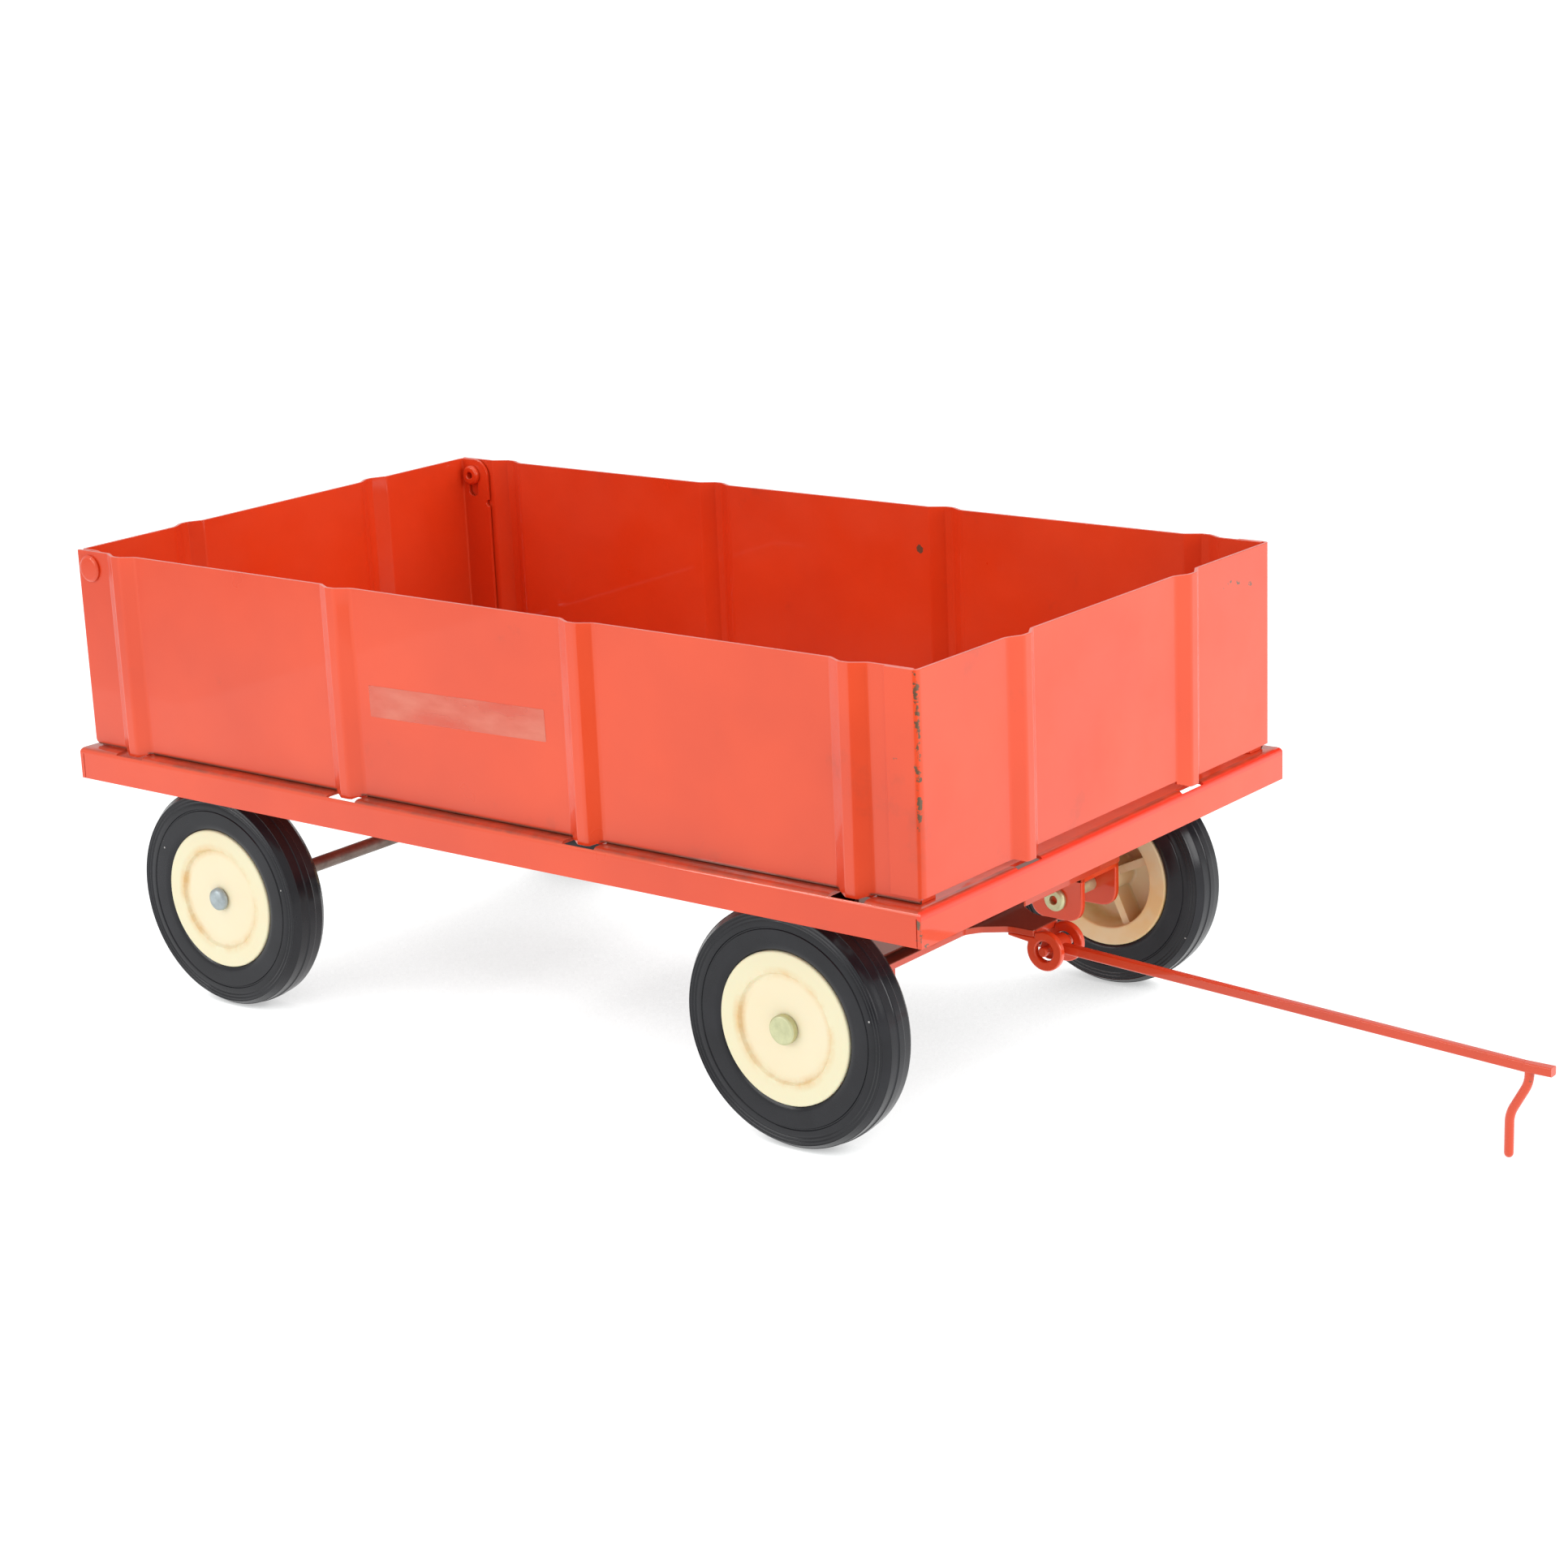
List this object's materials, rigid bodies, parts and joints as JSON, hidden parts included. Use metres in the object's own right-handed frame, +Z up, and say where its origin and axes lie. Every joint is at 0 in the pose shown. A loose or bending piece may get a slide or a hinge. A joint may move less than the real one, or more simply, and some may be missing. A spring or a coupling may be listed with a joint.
{
  "type": "toy barge wagon",
  "caption": "Pressed-steel toy farm wagon: ribbed open box on a flanged bed, swinging tailgate, steered front axle and a drawbar that ends in a hitch pin.",
  "frame": {"origin": "on the ground, in the middle of the whole model's length and width, drawbar included", "axes": "+X forward towards the drawbar, +Y to the wagon's left, +Z up"},
  "size_m": [0.337, 0.136, 0.104],
  "materials": {
    "enamel": "gloss orange-red stove enamel",
    "underframe": "orange-red enamel, thin and dull under the bed",
    "rim": "semi-gloss cream moulding",
    "tyre": "matt moulded rubber",
    "zinc": "yellowed zinc plating",
    "axle_steel": "dull bare steel",
    "label": "clear transfer film, blank"
  },
  "bodies": {
    "bed": {"bed": "enamel", "side_wall_right": "enamel", "side_wall_left": "enamel", "front_wall": "enamel", "tailgate_rivets": "enamel", "front_bolster": "underframe", "kingpin": "zinc", "kingpin_washer": "axle_steel", "rear_bracket": "underframe", "rear_axle": "axle_steel", "label_right": "label", "label_left": "label"},
    "tailgate": {"tailgate": "enamel"},
    "front_axle": {"front_beam": "underframe", "axle_bracket_right": "underframe", "axle_bracket_left": "underframe", "stub_axle_right": "zinc", "stub_axle_left": "zinc"},
    "drawbar": {"drawbar": "enamel", "hitch_pin": "enamel"},
    "wheel_front_right": {"rim_front_right": "rim", "tyre_front_right": "tyre"},
    "wheel_front_left": {"rim_front_left": "rim", "tyre_front_left": "tyre"},
    "wheel_rear_right": {"rim_rear_right": "rim", "tyre_rear_right": "tyre"},
    "wheel_rear_left": {"rim_rear_left": "rim", "tyre_rear_left": "tyre"}
  },
  "joints": [
    {"name": "tailgate_swing", "type": "hinge", "parent": "bed", "child": "tailgate", "pos_m": [-0.1626, 0, 0.1], "axis": [0, 1, 0], "range_deg": [0, 170]},
    {"name": "steer", "type": "hinge", "parent": "bed", "child": "front_axle", "pos_m": [0.0335, 0, 0.0332], "axis": [0, 0, 1], "range_deg": [-28, 28]},
    {"name": "drawbar_pitch", "type": "hinge", "parent": "front_axle", "child": "drawbar", "pos_m": [0.0564, 0, 0.0289], "axis": [0, -1, 0], "range_deg": [0, 45]},
    {"name": "wheel_front_right_spin", "type": "hinge", "parent": "front_axle", "child": "wheel_front_right", "pos_m": [0.0335, -0.05865, 0.02575], "axis": [0, 1, 0], "continuous": true},
    {"name": "wheel_front_left_spin", "type": "hinge", "parent": "front_axle", "child": "wheel_front_left", "pos_m": [0.0335, 0.05865, 0.02575], "axis": [0, 1, 0], "continuous": true},
    {"name": "wheel_rear_right_spin", "type": "hinge", "parent": "bed", "child": "wheel_rear_right", "pos_m": [-0.1305, -0.05865, 0.02575], "axis": [0, 1, 0], "continuous": true},
    {"name": "wheel_rear_left_spin", "type": "hinge", "parent": "bed", "child": "wheel_rear_left", "pos_m": [-0.1305, 0.05865, 0.02575], "axis": [0, 1, 0], "continuous": true}
  ]
}
